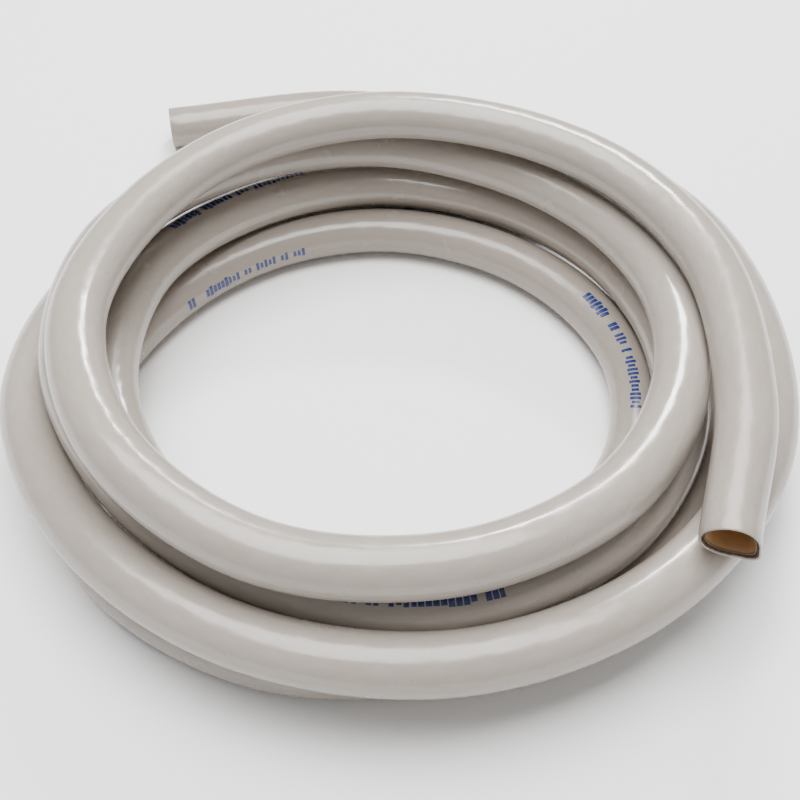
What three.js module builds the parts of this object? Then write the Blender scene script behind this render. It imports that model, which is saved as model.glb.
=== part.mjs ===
// A length of reinforced suction hose lying in a loose, hand-laid coil.
// Three tubes share one route: a soft liner, a braided yarn sleeve and a thick glossy cover.
// Both ends are cut square and bare. Millimetres, +Z up, the coil lies on the plane z = 0.
import * as THREE from "three";

// Sizes through the wall, from the bore outwards.
const BORE_DIAMETER = 21;
const LINER_WALL = 0.8;
const YARN_WALL = 0.8;
const COVER_WALL = 1.2;
const LAYER_GAP = 0.1;

// The liner stops short of the cut and the cover reaches furthest, as a knife leaves them.
const YARN_SETBACK = 0.4;
const LINER_SETBACK = 0.8;

// Facets round every tube, the same for all so that one nests in the next.
const SIDES = 10;

// The coil runs clockwise seen from above, 12 stations to a turn, from the first cut end.
const START_ANGLE = 127;
const STATION_STEP = 30;
const STEPS_TO_NEAR_END = 0.12;
const STEPS_TO_FAR_END = 65.75;

// Distance of each station from the coil's centre, one row to a turn.
const TURN_RADII = [
  [292, 267, 240, 209, 189, 187, 184, 184, 185, 188, 196, 200],
  [190, 177, 175, 178, 177, 168, 166, 166, 177, 184, 174, 155],
  [143, 134, 126, 123, 125, 126, 127, 129, 137, 147, 154, 156],
  [156, 155, 149, 144, 142, 146, 152, 156, 156, 161, 171, 176],
  [166, 157, 146, 140, 139, 141, 148, 155, 161, 163, 161, 154],
  [151, 147, 146, 149, 156, 170, 197],
];

// Height of the hose's centre line at the same stations.
const TURN_HEIGHTS = [
  [14, 14, 18, 33, 42, 42, 42, 43, 44, 42, 34, 21],
  [14, 14, 14, 14, 14, 14, 14, 14, 14, 14, 14, 14],
  [14, 14, 14, 14, 14, 14, 14, 15, 20, 28, 36, 43],
  [38, 34, 32, 33, 36, 40, 43, 45, 46, 52, 59, 63],
  [64, 62, 60, 61, 64, 67, 70, 73, 75, 81, 84, 85],
  [87, 89, 88, 88, 86, 80, 68],
];

// A tube's rings stand at the stations, so every turn is faceted at the same angles.
class CoilRoute extends THREE.Curve {
  constructor(stations) {
    super();
    this.stations = stations;
  }

  stationAt(index) {
    const last = this.stations.length - 1;
    if (index < 0) return this.mirrored(0, 1);
    if (index > last) return this.mirrored(last, last - 1);
    return this.stations[index];
  }

  mirrored(end, inner) {
    return this.stations[end].clone().multiplyScalar(2).sub(this.stations[inner]);
  }

  getPoint(share, target = new THREE.Vector3()) {
    const last = this.stations.length - 1;
    const span = Math.min(Math.floor(share * last), last - 1);
    const [before, from, to, after] = [-1, 0, 1, 2].map((offset) => this.stationAt(span + offset));
    const part = share * last - span;
    return target.set(
      catmullRom(part, before.x, from.x, to.x, after.x),
      catmullRom(part, before.y, from.y, to.y, after.y),
      catmullRom(part, before.z, from.z, to.z, after.z),
    );
  }

  getPointAt(share, target) {
    return this.getPoint(share, target);
  }

  getTangentAt(share, target) {
    return this.getTangent(share, target);
  }
}

// A cubic that passes through "from" and "to", with slopes set by their neighbours.
function catmullRom(part, before, from, to, after) {
  const slopeFrom = (to - before) / 2;
  const slopeTo = (after - from) / 2;
  const bend = 2 * (from - to) + slopeFrom + slopeTo;
  const lift = 3 * (to - from) - 2 * slopeFrom - slopeTo;
  return ((bend * part + lift) * part + slopeFrom) * part + from;
}

// The stations round the coil's centre, before the coil is set on its origin.
function coilStations() {
  const heights = TURN_HEIGHTS.flat();
  return TURN_RADII.flat().map((radius, index) => {
    const steps = THREE.MathUtils.clamp(index, STEPS_TO_NEAR_END, STEPS_TO_FAR_END);
    const angle = THREE.MathUtils.degToRad(START_ANGLE - STATION_STEP * steps);
    return new THREE.Vector3(radius * Math.cos(angle), radius * Math.sin(angle), heights[index]);
  });
}

// Both end stations drawn back along the hose, for a layer that stops short of the cut.
function setBack(stations, distance) {
  const shortened = stations.map((station) => station.clone());
  const last = shortened.length - 1;
  shortened[0].add(towards(stations[0], stations[1], distance));
  shortened[last].add(towards(stations[last], stations[last - 1], distance));
  return shortened;
}

function towards(from, to, distance) {
  return to.clone().sub(from).setLength(distance);
}

// The ring of wall between two radii.
function ringSection(outerRadius, innerRadius) {
  const section = new THREE.Shape(polygon(outerRadius));
  section.holes.push(new THREE.Path(polygon(innerRadius).reverse()));
  return section;
}

function polygon(radius) {
  return Array.from({ length: SIDES }, (_, index) => {
    const angle = (2 * Math.PI * index) / SIDES;
    return new THREE.Vector2(radius * Math.cos(angle), radius * Math.sin(angle));
  });
}

// One layer of the hose, swept along the route.
function hoseLayer({ name, outerRadius, innerRadius, stations, color, roughness }) {
  const geometry = new THREE.ExtrudeGeometry(ringSection(outerRadius, innerRadius), {
    extrudePath: new CoilRoute(stations),
    steps: stations.length - 1,
  });
  const material = new THREE.MeshStandardMaterial({ color, roughness, metalness: 0 });
  const layer = new THREE.Mesh(geometry, material);
  layer.name = name;
  return layer;
}

const linerInner = BORE_DIAMETER / 2;
const linerOuter = linerInner + LINER_WALL;
const yarnInner = linerOuter + LAYER_GAP;
const yarnOuter = yarnInner + YARN_WALL;
const coverInner = yarnOuter + LAYER_GAP;
const coverOuter = coverInner + COVER_WALL;

const stations = coilStations();
const coil = new THREE.Group();
coil.add(
  hoseLayer({
    name: "outer_cover",
    outerRadius: coverOuter,
    innerRadius: coverInner,
    stations,
    color: 0xd9d4cc,
    roughness: 0.22,
  }),
  hoseLayer({
    name: "yarn_braid",
    outerRadius: yarnOuter,
    innerRadius: yarnInner,
    stations: setBack(stations, YARN_SETBACK),
    color: 0xb9a68c,
    roughness: 0.85,
  }),
  hoseLayer({
    name: "inner_liner",
    outerRadius: linerOuter,
    innerRadius: linerInner,
    stations: setBack(stations, LINER_SETBACK),
    color: 0x73502f,
    roughness: 0.4,
  }),
);

// The origin is the middle of the coil's footprint, on the surface that it lies on.
const footprint = new THREE.Box3().setFromObject(coil);
const middle = footprint.getCenter(new THREE.Vector3());
coil.position.set(-middle.x, -middle.y, -footprint.min.z);

const hose = new THREE.Group();
hose.add(coil);

export default hose;
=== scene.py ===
import math
import random

import bpy
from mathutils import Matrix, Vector


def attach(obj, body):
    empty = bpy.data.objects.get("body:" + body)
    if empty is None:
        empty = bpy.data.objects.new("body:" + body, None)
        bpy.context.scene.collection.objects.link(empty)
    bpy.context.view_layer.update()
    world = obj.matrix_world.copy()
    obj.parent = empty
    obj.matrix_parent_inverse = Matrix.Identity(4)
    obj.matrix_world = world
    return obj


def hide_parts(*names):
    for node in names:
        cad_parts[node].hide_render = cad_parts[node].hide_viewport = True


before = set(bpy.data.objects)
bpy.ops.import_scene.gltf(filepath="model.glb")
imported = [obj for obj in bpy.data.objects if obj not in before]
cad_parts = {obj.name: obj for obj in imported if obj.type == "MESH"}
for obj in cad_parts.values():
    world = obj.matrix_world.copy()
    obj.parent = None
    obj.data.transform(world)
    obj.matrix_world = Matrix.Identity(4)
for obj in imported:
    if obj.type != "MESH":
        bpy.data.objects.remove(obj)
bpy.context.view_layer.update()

# The viewpoint. A 50 mm lens looks down on the coil from the front, at 48 degrees above the floor.
bpy.ops.object.camera_add(location=(0.0006, -0.4514, 0.4585), rotation=(math.radians(42), 0, 0))
camera = bpy.context.object
camera.data.lens = 50
camera.data.sensor_width = 36
bpy.context.scene.camera = camera


# The hose's route. One length of hose is thrown down in five and a half turns, clockwise from above,
# 12 stations to a turn. Each row below is one turn: how far from the coil's centre the hose's
# centre line is at each station, then how high it lies.
START_ANGLE = 127
STATION_STEP = 30
STEPS_TO_NEAR_END = 0.12
STEPS_TO_FAR_END = 65.75
COIL_CENTRE = Vector((0.0033, -0.0410, -0.0005))

TURN_RADII = [
    [0.292, 0.267, 0.240, 0.209, 0.189, 0.187, 0.184, 0.184, 0.185, 0.188, 0.196, 0.200],
    [0.190, 0.177, 0.175, 0.178, 0.177, 0.168, 0.166, 0.166, 0.177, 0.184, 0.174, 0.155],
    [0.143, 0.134, 0.126, 0.123, 0.125, 0.126, 0.127, 0.129, 0.137, 0.147, 0.154, 0.156],
    [0.156, 0.155, 0.149, 0.144, 0.142, 0.146, 0.152, 0.156, 0.156, 0.161, 0.171, 0.176],
    [0.166, 0.157, 0.146, 0.140, 0.139, 0.141, 0.148, 0.155, 0.161, 0.163, 0.161, 0.154],
    [0.151, 0.147, 0.146, 0.149, 0.156, 0.170, 0.197],
]
TURN_HEIGHTS = [
    [0.014, 0.014, 0.018, 0.033, 0.042, 0.042, 0.042, 0.043, 0.044, 0.042, 0.034, 0.021],
    [0.014, 0.014, 0.014, 0.014, 0.014, 0.014, 0.014, 0.014, 0.014, 0.014, 0.014, 0.014],
    [0.014, 0.014, 0.014, 0.014, 0.014, 0.014, 0.014, 0.015, 0.020, 0.028, 0.036, 0.043],
    [0.038, 0.034, 0.032, 0.033, 0.036, 0.040, 0.043, 0.045, 0.046, 0.052, 0.059, 0.063],
    [0.064, 0.062, 0.060, 0.061, 0.064, 0.067, 0.070, 0.073, 0.075, 0.081, 0.084, 0.085],
    [0.087, 0.089, 0.088, 0.088, 0.086, 0.080, 0.068],
]


def coil_stations():
    radii = [radius for turn in TURN_RADII for radius in turn]
    heights = [height for turn in TURN_HEIGHTS for height in turn]
    stations = []
    for index, (radius, height) in enumerate(zip(radii, heights)):
        steps = min(max(index, STEPS_TO_NEAR_END), STEPS_TO_FAR_END)
        angle = math.radians(START_ANGLE - STATION_STEP * steps)
        place = Vector((radius * math.cos(angle), radius * math.sin(angle), height))
        stations.append(COIL_CENTRE + place)
    return stations


def catmull_rom(part, before, start, end, after):
    slope_start = (end - before) / 2
    slope_end = (after - start) / 2
    bend = 2 * (start - end) + slope_start + slope_end
    lift = 3 * (end - start) - 2 * slope_start - slope_end
    return ((bend * part + lift) * part + slope_start) * part + start


def smooth_route(stations, rings_between):
    ends = [stations[0] * 2 - stations[1], *stations, stations[-1] * 2 - stations[-2]]
    route = []
    for index in range(len(stations) - 1):
        for ring in range(rings_between):
            route.append(catmull_rom(ring / rings_between, *ends[index:index + 4]))
    route.append(stations[-1])
    return route


def lengths_along(route):
    total = 0
    along = [0]
    for start, end in zip(route, route[1:]):
        total += (end - start).length
        along.append(total)
    return along


RINGS_BETWEEN_STATIONS = 12
route = smooth_route(coil_stations(), RINGS_BETWEEN_STATIONS)
along = lengths_along(route)


# The outer cover is extruded PVC, glossy and warm off-white, with print along one line of it.
# It is swept along the route, a little wider than high where its own weight flattens it. The knife
# squeezed the far end to a drop shape. The print line wanders round the hose as the hose twists.
HOSE_RADIUS = 0.0135
COVER_WALL = 0.0012
COVER_LIP = 0.0003
COVER_SIDES = 44
WIDTH_SHARE = 1.05
HEIGHT_SHARE = 0.955
SQUEEZED_LENGTH = 0.07
PRINT_LINE = [
    (0, 250), (20, 250), (23.2, 8), (24.5, 8), (27, 78), (28.5, 78), (31, 250), (33, 250),
    (35.1, 97), (36.2, 97), (38.7, 250), (40.3, 250), (42.6, 113), (43.9, 113), (46, 250), (66, 250),
]
random.seed(27)


def cross_frame(route, index):
    ahead = route[min(index + 1, len(route) - 1)] - route[max(index - 1, 0)]
    ahead.normalize()
    inward = ahead.cross(Vector((0, 0, 1))).normalized()
    return ahead, inward, inward.cross(ahead)


def print_angle(station):
    for (start, first), (end, second) in zip(PRINT_LINE, PRINT_LINE[1:]):
        if start <= station <= end:
            part = (station - start) / (end - start)
            ease = part * part * (3 - 2 * part)
            return first + (second - first) * ease
    return PRINT_LINE[-1][1]


def squeezed(angle, to_far_end):
    """How far the section bulges at one corner and flattens under it, near the far end."""
    share = max(0, 1 - to_far_end / SQUEEZED_LENGTH)
    ease = share * share * (3 - 2 * share)
    corner = max(0, math.cos(angle - math.radians(222))) ** 18
    flat = max(0, math.cos(angle - math.radians(275))) ** 3
    shoulder = max(0, math.cos(angle - math.radians(160))) ** 3
    return 1 + ease * (0.24 * corner - 0.06 * flat - 0.15 * shoulder)


def ring_points(index, radius, sides, shift=0.0, ragged=0.0):
    ahead, inward, upward = cross_frame(route, index)
    points = []
    for side in range(sides):
        angle = 2 * math.pi * side / sides
        reach = radius * squeezed(angle, along[-1] - along[index])
        wide = inward * math.cos(angle) * WIDTH_SHARE
        high = upward * math.sin(angle) * HEIGHT_SHARE
        tear = random.uniform(-ragged, ragged)
        points.append(route[index] + (wide + high) * (reach + tear / 2) + ahead * (shift + tear))
    return points


def tube_of_rings(name, rings, marks):
    """A closed tube from a loop of rings, each ring joined to the next and the last to the first."""
    sides = len(rings[0])
    points = [point for ring in rings for point in ring]
    faces = []
    places = []
    for ring in range(len(rings)):
        after = (ring + 1) % len(rings)
        for side in range(sides):
            beside = (side + 1) % sides
            corners = [(ring, side, 0), (ring, side, 1), (after, side, 1), (after, side, 0)]
            faces.append((ring * sides + side, ring * sides + beside,
                          after * sides + beside, after * sides + side))
            for at, start, step in corners:
                turn, distance = marks[at]
                places.append(((start + step) / sides - turn, distance))
    mesh = bpy.data.meshes.new(name)
    mesh.from_pydata(points, [], faces)
    layer = mesh.uv_layers.new(name="along_hose")
    for loop, place in zip(layer.data, places):
        loop.uv = place
    mesh.shade_smooth()
    piece = bpy.data.objects.new(name, mesh)
    bpy.context.collection.objects.link(piece)
    return piece


def hose_tube(name, outer, inner, sides, set_back, lip, every=1, ragged=0.0):
    """One layer: out along the outside, over the far lip, back along the inside, over the near lip."""
    last = len(route) - 1
    stops = range(0, last + 1, every)
    rings = []
    marks = []

    def add(index, radius, shift, ragged=0.0):
        rings.append(ring_points(index, radius, sides, shift, ragged))
        marks.append((print_angle(index / RINGS_BETWEEN_STATIONS) / 360, along[index] + shift))

    add(0, outer - lip, set_back, ragged)
    add(0, outer - 0.3 * lip, set_back + 0.3 * lip)
    add(0, outer, set_back + lip)
    for index in stops[1:-1]:
        add(index, outer, 0)
    add(last, outer, -set_back - lip)
    add(last, outer - 0.3 * lip, -set_back - 0.3 * lip)
    add(last, outer - lip, -set_back, ragged)
    add(last, inner + lip, -set_back, ragged)
    add(last, inner, -set_back - lip)
    for index in reversed(stops[1:-1]):
        add(index, inner, 0)
    add(0, inner, set_back + lip)
    add(0, inner + lip, set_back, ragged)
    return tube_of_rings(name, rings, marks)


def node(tree, kind, **settings):
    made = tree.nodes.new(kind)
    for key, value in settings.items():
        setattr(made, key, value)
    return made


def maths(tree, operation, first, second=None, third=None):
    made = node(tree, "ShaderNodeMath", operation=operation)
    for socket, value in zip(made.inputs, (first, second, third)):
        if value is None:
            continue
        if isinstance(value, (int, float)):
            socket.default_value = value
        else:
            tree.links.new(value, socket)
    return made.outputs[0]


def new_material(name):
    material = bpy.data.materials.new(name)
    material.use_nodes = True
    return material, material.node_tree, material.node_tree.nodes["Principled BSDF"]


def noise(tree, vector, scale, detail=3.0, roughness=0.5):
    made = node(tree, "ShaderNodeTexNoise")
    made.inputs["Scale"].default_value = scale
    made.inputs["Detail"].default_value = detail
    made.inputs["Roughness"].default_value = roughness
    tree.links.new(vector, made.inputs["Vector"])
    return made.outputs[0]


def remap(tree, value, low, high, to_low, to_high):
    made = node(tree, "ShaderNodeMapRange")
    for socket, number in zip(made.inputs[1:5], (low, high, to_low, to_high)):
        socket.default_value = number
    tree.links.new(value, made.inputs[0])
    return made.outputs[0]


def blend_colour(tree, share, first, second):
    made = node(tree, "ShaderNodeMix", data_type="RGBA")
    tree.links.new(share, made.inputs[0])
    for socket, value in ((made.inputs[6], first), (made.inputs[7], second)):
        if isinstance(value, tuple):
            socket.default_value = (*value, 1)
        else:
            tree.links.new(value, socket)
    return made.outputs[2]


def braid_ripple(tree, around, distance, crossings, pitch):
    """Two opposite spirals of ridges, where the yarn under the skin shows through."""
    turn = maths(tree, "MULTIPLY", around, 2 * math.pi * crossings)
    climb = maths(tree, "MULTIPLY", distance, 2 * math.pi / pitch)
    right = maths(tree, "SINE", maths(tree, "ADD", turn, climb))
    left = maths(tree, "SINE", maths(tree, "SUBTRACT", turn, climb))
    return maths(tree, "MAXIMUM", right, left)


def print_mask(tree, around, distance):
    """Rows of plain upright dashes along the print line, a band of them every 291 mm."""
    spacing = 0.291
    band = 0.094
    bold_band = 0.038
    first_band = 0.266
    bars_per_metre = 330
    shifted = maths(tree, "SUBTRACT", distance, first_band - spacing)
    within = maths(tree, "FRACT", maths(tree, "DIVIDE", shifted, spacing))
    in_band = maths(tree, "LESS_THAN", within, band / spacing)
    bold = maths(tree, "LESS_THAN", within, bold_band / spacing)
    cell = maths(tree, "MULTIPLY", distance, bars_per_metre)
    lot = node(tree, "ShaderNodeTexWhiteNoise", noise_dimensions="1D")
    tree.links.new(maths(tree, "FLOOR", cell), lot.inputs["W"])
    kept = maths(tree, "GREATER_THAN", lot.outputs["Value"], 0.13)
    width = maths(tree, "MULTIPLY_ADD", bold, 0.14, 0.7)
    dash = maths(tree, "LESS_THAN", maths(tree, "FRACT", cell), width)
    is_tall = maths(tree, "GREATER_THAN", lot.outputs["Value"], 0.6)
    plain_reach = maths(tree, "MULTIPLY_ADD", is_tall, 0.010, 0.022)
    reach = maths(tree, "MULTIPLY_ADD", bold, 0.008, plain_reach)
    row = maths(tree, "LESS_THAN", maths(tree, "PINGPONG", around, 0.5), reach)
    placed = maths(tree, "MULTIPLY", row, in_band)
    return maths(tree, "MULTIPLY", placed, maths(tree, "MULTIPLY", kept, dash))


def place_on_hose(tree):
    """How far round the hose from the print line, and how far along it in metres."""
    place = node(tree, "ShaderNodeUVMap", uv_map="along_hose")
    split = node(tree, "ShaderNodeSeparateXYZ")
    tree.links.new(place.outputs[0], split.inputs[0])
    return split.outputs[0], split.outputs[1]


def roughen(tree, shader, height, strength, distance):
    bump = node(tree, "ShaderNodeBump")
    bump.inputs["Strength"].default_value = strength
    bump.inputs["Distance"].default_value = distance
    tree.links.new(height, bump.inputs["Height"])
    tree.links.new(bump.outputs[0], shader.inputs["Normal"])


def cover_material():
    material, tree, shader = new_material("glossy_off_white_cover")
    around, distance = place_on_hose(tree)
    solid = node(tree, "ShaderNodeTexCoord").outputs["Object"]

    ripple = braid_ripple(tree, around, distance, 10, 0.021)
    mottle = noise(tree, solid, 45, 4)
    specks = remap(tree, noise(tree, solid, 900, 1), 0.74, 0.79, 0, 0.55)
    scuffs = remap(tree, noise(tree, solid, 170, 6, 0.7), 0.66, 0.8, 0, 0.25)
    tone = blend_colour(tree, mottle, (0.300, 0.263, 0.227), (0.342, 0.305, 0.267))
    tone = blend_colour(tree, remap(tree, ripple, 0.5, 1, 0, 0.14), tone, (0.265, 0.228, 0.193))
    # Painted shade: below 50 mm the cover's colour is blended towards dark brown, darkest at the
    # floor, in place of the shade in the gaps between the low turns.
    height = node(tree, "ShaderNodeSeparateXYZ")
    tree.links.new(solid, height.inputs[0])
    low = remap(tree, height.outputs[2], 0, 0.05, 0.42, 0)
    tone = blend_colour(tree, low, tone, (0.16, 0.122, 0.096))
    tone = blend_colour(tree, scuffs, tone, (0.22, 0.183, 0.148))
    tone = blend_colour(tree, specks, tone, (0.12, 0.09, 0.07))
    ink_wear = remap(tree, noise(tree, solid, 500, 4), 0.28, 0.45, 0.85, 1)
    ink = maths(tree, "MULTIPLY", print_mask(tree, around, distance), ink_wear)
    tone = blend_colour(tree, ink, tone, (0.003, 0.018, 0.12))
    tree.links.new(tone, shader.inputs["Base Color"])

    gloss = remap(tree, noise(tree, solid, 40, 3), 0.35, 0.7, 0.19, 0.29)
    tree.links.new(gloss, shader.inputs["Roughness"])
    shader.inputs["IOR"].default_value = 1.53
    shader.inputs["Coat Weight"].default_value = 0.15
    shader.inputs["Coat Roughness"].default_value = 0.08

    waviness = noise(tree, solid, 26, 2)
    relief = maths(tree, "MULTIPLY_ADD", ripple, 0.22, waviness)
    roughen(tree, shader, relief, 0.4, 0.0004)
    return material


cover = hose_tube("hose_cover", HOSE_RADIUS, HOSE_RADIUS - COVER_WALL, COVER_SIDES, 0, COVER_LIP)
cover.data.materials.append(cover_material())
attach(cover, "root")
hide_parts("outer_cover")


# The reinforcement is polyester yarn, laid in two opposite spirals between cover and liner.
# The knife leaves it frayed at both ends, as short fibres round the mouth.
YARN_OUTER = 0.0122
YARN_INNER = 0.0114
YARN_SET_BACK = 0.0006
YARN_LIP = 0.0001
YARN_FRAY = 0.0005


def yarn_material():
    material, tree, shader = new_material("dull_brown_yarn")
    solid = node(tree, "ShaderNodeTexCoord").outputs["Object"]
    fibres = noise(tree, solid, 1400, 3)
    tone = blend_colour(tree, fibres, (0.035, 0.016, 0.007), (0.11, 0.06, 0.028))
    tree.links.new(tone, shader.inputs["Base Color"])
    shader.inputs["Roughness"].default_value = 0.85
    roughen(tree, shader, fibres, 0.6, 0.0003)
    return material


yarn = hose_tube("yarn_braid_sleeve", YARN_OUTER, YARN_INNER, 60, YARN_SET_BACK,
                 YARN_LIP, every=4, ragged=YARN_FRAY)
yarn.data.materials.append(yarn_material())
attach(yarn, "root")
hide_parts("yarn_braid")


# The liner is soft amber-brown PVC, the smooth wall of the bore. Near its cut edge at the far
# end it is darker than the wall.
LINER_OUTER = 0.0113
LINER_INNER = 0.0105
LINER_SET_BACK = 0.0012
LINER_LIP = 0.0002


def liner_material():
    material, tree, shader = new_material("amber_brown_liner")
    solid = node(tree, "ShaderNodeTexCoord").outputs["Object"]
    patches = noise(tree, solid, 160, 4)
    tone = blend_colour(tree, patches, (0.30, 0.155, 0.055), (0.42, 0.235, 0.095))
    cut_edge = along[-1] - LINER_SET_BACK
    distance = place_on_hose(tree)[1]
    far_cut = remap(tree, distance, cut_edge - 0.0012, cut_edge - 0.0004, 0, 0.92)
    tone = blend_colour(tree, far_cut, tone, (0.06, 0.03, 0.013))
    tree.links.new(tone, shader.inputs["Base Color"])
    gloss = remap(tree, patches, 0.3, 0.7, 0.35, 0.55)
    tree.links.new(gloss, shader.inputs["Roughness"])
    roughen(tree, shader, noise(tree, solid, 700, 3), 0.4, 0.0003)
    return material


liner = hose_tube("bore_liner", LINER_OUTER, LINER_INNER, 28, LINER_SET_BACK, LINER_LIP, every=3)
liner.data.materials.append(liner_material())
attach(liner, "root")
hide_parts("inner_liner")


# The floor is a plain pale sheet, wide enough to be all that is seen round the coil.
bpy.ops.object.select_all(action="DESELECT")
bpy.ops.mesh.primitive_plane_add(size=14, location=(0, 0, -0.0002))
floor = bpy.context.object
floor.name = "floor_sheet"


def floor_material():
    material, tree, shader = new_material("pale_floor")
    solid = node(tree, "ShaderNodeTexCoord").outputs["Object"]
    tone = blend_colour(tree, noise(tree, solid, 3, 2), (0.93, 0.93, 0.925), (0.95, 0.95, 0.95))
    tree.links.new(tone, shader.inputs["Base Color"])
    shader.inputs["Roughness"].default_value = 0.7
    shader.inputs["Specular IOR Level"].default_value = 0.2
    return material


floor.data.materials.append(floor_material())


# The light is a bright white room with one small bright lamp behind and above, which draws the
# thin bright line along the top of each turn, and a wide soft one overhead.
def aim(light, target):
    light.rotation_euler = (Vector(target) - light.location).to_track_quat("-Z", "Y").to_euler()


def soft_box(name, location, target, width, height, power):
    bpy.ops.object.light_add(type="AREA", location=location)
    lamp = bpy.context.object
    lamp.name = name
    lamp.data.shape = "RECTANGLE"
    lamp.data.size = width
    lamp.data.size_y = height
    lamp.data.energy = power
    aim(lamp, target)
    return lamp


soft_box("back_lamp", (0.35, 1.55, 1.45), (0, 0, 0.03), 0.5, 0.2, 36)
soft_box("top_soft_box", (-0.1, 0.2, 1.9), (0, 0, 0), 1.6, 1.6, 96)
world = bpy.data.worlds.new("white_room")
bpy.context.scene.world = world
world.use_nodes = True
world.node_tree.nodes["Background"].inputs["Color"].default_value = (1, 0.995, 0.985, 1)
world.node_tree.nodes["Background"].inputs["Strength"].default_value = 0.52
